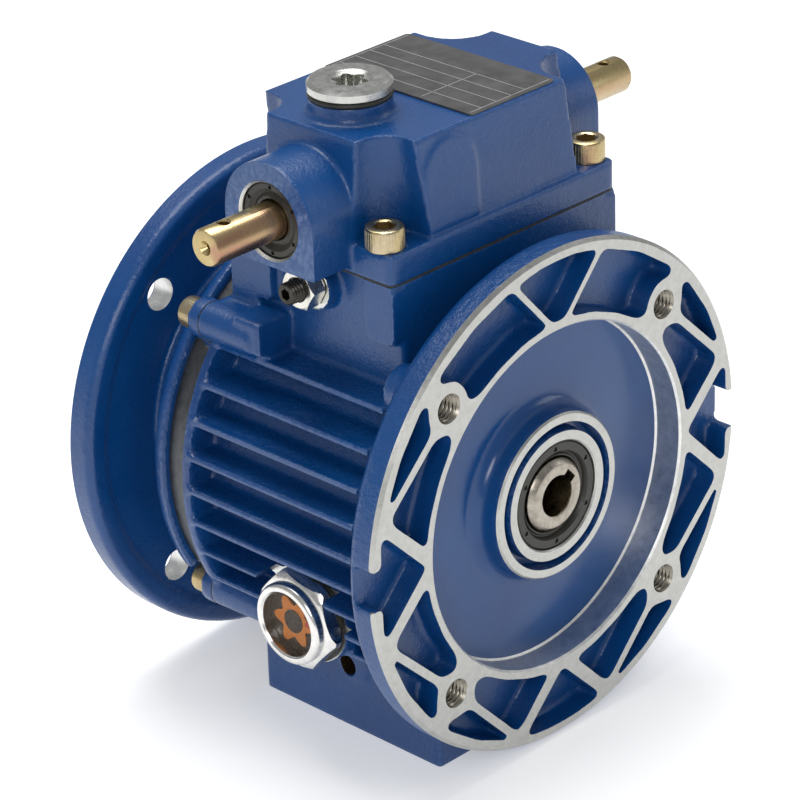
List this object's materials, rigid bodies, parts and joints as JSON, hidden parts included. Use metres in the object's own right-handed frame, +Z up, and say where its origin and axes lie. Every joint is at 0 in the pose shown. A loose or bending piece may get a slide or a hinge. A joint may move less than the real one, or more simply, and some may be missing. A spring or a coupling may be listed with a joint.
{
  "type": "stepless mechanical speed variator",
  "caption": "Planetary cone-and-disc speed variator: flanged hollow input, flanged keyed output, finned casing with foot, top cover with a cross spindle.",
  "frame": {"origin": "middle of the foot's lower face", "axes": "+Z up, the main shaft axis along Y at 71 mm height, motor flange facing -Y, output flange facing +Y, control spindle along X"},
  "size_m": [0.153, 0.1358, 0.1829],
  "materials": {
    "paint": "satin gloss blue over cast metal",
    "steel": "ground",
    "dark_steel": "black oxide",
    "yellow_zinc": "yellow passivated zinc",
    "white_zinc": "bright plated",
    "rubber": "matte",
    "gasket": "fibre sheet",
    "lens": "clear, amber tinted",
    "amber": "amber",
    "plate": "printed grey with a blank light grid",
    "bronze": "machined bronze"
  },
  "bodies": {
    "casing": {"control_cover": "paint", "cover_gasket": "gasket", "cover_screw_1": "yellow_zinc", "cover_screw_2": "yellow_zinc", "cover_screw_3": "yellow_zinc", "cover_screw_4": "yellow_zinc", "flange_screw_1": "yellow_zinc", "flange_screw_2": "yellow_zinc", "flange_screw_3": "yellow_zinc", "flange_screw_4": "yellow_zinc", "housing": "paint", "input_bearing_outer": "steel", "input_flange": "paint", "input_seal": "rubber", "nameplate": "plate", "oil_plug": "white_zinc", "oil_plug_seal": "rubber", "output_bearing_outer": "steel", "output_flange": "paint", "output_seal": "rubber", "ring_fixed": "steel", "sight_gasket": "rubber", "sight_glass_nut": "white_zinc", "sight_lens": "lens", "sight_reflector": "amber", "spindle_seal_left": "rubber", "spindle_seal_right": "rubber", "stop_locknut_left": "white_zinc", "stop_locknut_right": "white_zinc", "stop_screw_left": "dark_steel", "stop_screw_right": "dark_steel"},
    "input_rotor": {"input_shaft": "steel", "input_bearing_inner": "steel", "sun_disc_sliding": "steel", "sun_disc_fixed": "steel", "disc_spring": "steel"},
    "input_ball_set": {"input_bearing_balls": "steel"},
    "output_rotor": {"output_shaft": "steel", "output_key": "steel", "output_bearing_inner": "steel"},
    "output_ball_set": {"output_bearing_balls": "steel"},
    "spindle": {"control_spindle": "yellow_zinc"},
    "nut": {"control_nut": "bronze"},
    "cam": {"cam_ring": "steel"},
    "cam_cage": {"cam_ball_cage": "bronze"},
    "adjusting_ring": {"ring_adjusting": "steel"},
    "slide_1": {"slide_block_1": "bronze"},
    "planet_1": {"planet_disc_1": "steel"},
    "slide_2": {"slide_block_2": "bronze"},
    "planet_2": {"planet_disc_2": "steel"},
    "slide_3": {"slide_block_3": "bronze"},
    "planet_3": {"planet_disc_3": "steel"},
    "slide_4": {"slide_block_4": "bronze"},
    "planet_4": {"planet_disc_4": "steel"},
    "slide_5": {"slide_block_5": "bronze"},
    "planet_5": {"planet_disc_5": "steel"}
  },
  "joints": [
    {"name": "input_spin", "type": "hinge", "parent": "casing", "child": "input_rotor", "pos_m": [0, 0, 0.071], "axis": [0, 1, 0], "continuous": true},
    {"name": "output_spin", "type": "hinge", "parent": "casing", "child": "output_rotor", "pos_m": [0, 0, 0.071], "axis": [0, 1, 0], "continuous": true},
    {"name": "input_balls_spin", "type": "hinge", "parent": "casing", "child": "input_ball_set", "pos_m": [0, 0, 0.071], "axis": [0, 1, 0], "continuous": true},
    {"name": "output_balls_spin", "type": "hinge", "parent": "casing", "child": "output_ball_set", "pos_m": [0, 0, 0.071], "axis": [0, 1, 0], "continuous": true},
    {"name": "spindle_turn", "type": "hinge", "parent": "casing", "child": "spindle", "pos_m": [0, 0.0012, 0.1537], "axis": [1, 0, 0], "range_deg": [-1980.5, 1980.5]},
    {"name": "nut_slide", "type": "slide", "parent": "casing", "child": "nut", "axis": [1, 0, 0], "range_m": [-0.011, 0.011]},
    {"name": "cam_turn", "type": "hinge", "parent": "casing", "child": "cam", "pos_m": [0, 0, 0.071], "axis": [0, 1, 0], "range_deg": [-13.1, 13.1]},
    {"name": "cam_cage_turn", "type": "hinge", "parent": "casing", "child": "cam_cage", "pos_m": [0, 0, 0.071], "axis": [0, 1, 0], "range_deg": [-6.55, 6.55]},
    {"name": "ring_slide", "type": "slide", "parent": "casing", "child": "adjusting_ring", "axis": [0, 1, 0], "range_m": [-0.000251, 0.000251]},
    {"name": "slide_1_radial", "type": "slide", "parent": "output_rotor", "child": "slide_1", "axis": [0, 0, 1], "range_m": [-0.00151, 0.00151]},
    {"name": "planet_1_spin", "type": "hinge", "parent": "slide_1", "child": "planet_1", "pos_m": [0, 0.0155, 0.101], "axis": [0, 1, 0], "continuous": true},
    {"name": "slide_2_radial", "type": "slide", "parent": "output_rotor", "child": "slide_2", "axis": [-0.9511, 0, 0.309], "range_m": [-0.00151, 0.00151]},
    {"name": "planet_2_spin", "type": "hinge", "parent": "slide_2", "child": "planet_2", "pos_m": [-0.02853, 0.0155, 0.08027], "axis": [0, 1, 0], "continuous": true},
    {"name": "slide_3_radial", "type": "slide", "parent": "output_rotor", "child": "slide_3", "axis": [-0.5878, 0, -0.809], "range_m": [-0.00151, 0.00151]},
    {"name": "planet_3_spin", "type": "hinge", "parent": "slide_3", "child": "planet_3", "pos_m": [-0.01763, 0.0155, 0.04673], "axis": [0, 1, 0], "continuous": true},
    {"name": "slide_4_radial", "type": "slide", "parent": "output_rotor", "child": "slide_4", "axis": [0.5878, 0, -0.809], "range_m": [-0.00151, 0.00151]},
    {"name": "planet_4_spin", "type": "hinge", "parent": "slide_4", "child": "planet_4", "pos_m": [0.01763, 0.0155, 0.04673], "axis": [0, 1, 0], "continuous": true},
    {"name": "slide_5_radial", "type": "slide", "parent": "output_rotor", "child": "slide_5", "axis": [0.9511, 0, 0.309], "range_m": [-0.00151, 0.00151]},
    {"name": "planet_5_spin", "type": "hinge", "parent": "slide_5", "child": "planet_5", "pos_m": [0.02853, 0.0155, 0.08027], "axis": [0, 1, 0], "continuous": true}
  ],
  "couplings": [
    {"joint": "output_spin", "follows": "input_spin", "ratio": 0.33256},
    {"joint": "input_balls_spin", "follows": "input_spin", "ratio": 0.40953},
    {"joint": "output_balls_spin", "follows": "input_spin", "ratio": 0.13619},
    {"joint": "spindle_turn", "follows": "nut_slide", "rad_per_m": 3141.6},
    {"joint": "cam_turn", "follows": "nut_slide", "rad_per_m": 20.69},
    {"joint": "cam_cage_turn", "follows": "nut_slide", "rad_per_m": 10.345},
    {"joint": "ring_slide", "follows": "nut_slide", "ratio": 0.022727},
    {"joint": "slide_1_radial", "follows": "nut_slide", "ratio": -0.13636},
    {"joint": "planet_1_spin", "follows": "input_spin", "ratio": -1.2395},
    {"joint": "slide_2_radial", "follows": "nut_slide", "ratio": -0.13636},
    {"joint": "planet_2_spin", "follows": "input_spin", "ratio": -1.2395},
    {"joint": "slide_3_radial", "follows": "nut_slide", "ratio": -0.13636},
    {"joint": "planet_3_spin", "follows": "input_spin", "ratio": -1.2395},
    {"joint": "slide_4_radial", "follows": "nut_slide", "ratio": -0.13636},
    {"joint": "planet_4_spin", "follows": "input_spin", "ratio": -1.2395},
    {"joint": "slide_5_radial", "follows": "nut_slide", "ratio": -0.13636},
    {"joint": "planet_5_spin", "follows": "input_spin", "ratio": -1.2395}
  ]
}
